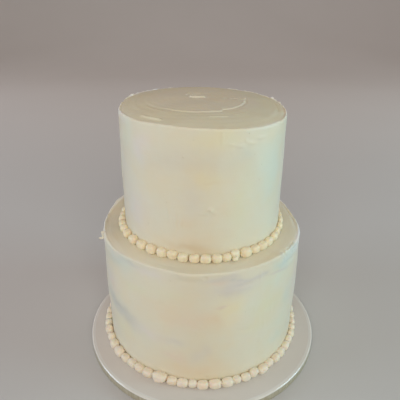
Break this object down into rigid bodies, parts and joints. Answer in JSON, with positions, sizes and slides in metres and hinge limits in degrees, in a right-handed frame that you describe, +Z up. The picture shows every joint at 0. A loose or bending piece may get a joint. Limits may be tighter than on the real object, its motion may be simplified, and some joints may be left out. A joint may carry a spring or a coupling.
{
  "type": "tiered wedding cake",
  "caption": "Small tiered wedding cake in smooth ivory buttercream, with a border of piped pearls round the foot of each tier, on a thin round cake drum.",
  "frame": {"origin": "centre of the cake drum's underside", "axes": "+Z up through the tiers, +X to the right and -Y towards the viewer of the cake's front"},
  "size_m": [0.254, 0.254, 0.2705],
  "materials": {
    "icing": "smooth scraped buttercream, satin, with faint tints and scraper marks",
    "pearl_icing": "piped buttercream, satin, slightly warmer than the coat",
    "drum_foil": "white board cover, satin, glossy on its rounded edge"
  },
  "bodies": {
    "root": {"cake_drum": "drum_foil", "bottom_tier": "icing", "top_tier": "icing", "bottom_border": "pearl_icing", "top_border": "pearl_icing"}
  },
  "joints": []
}
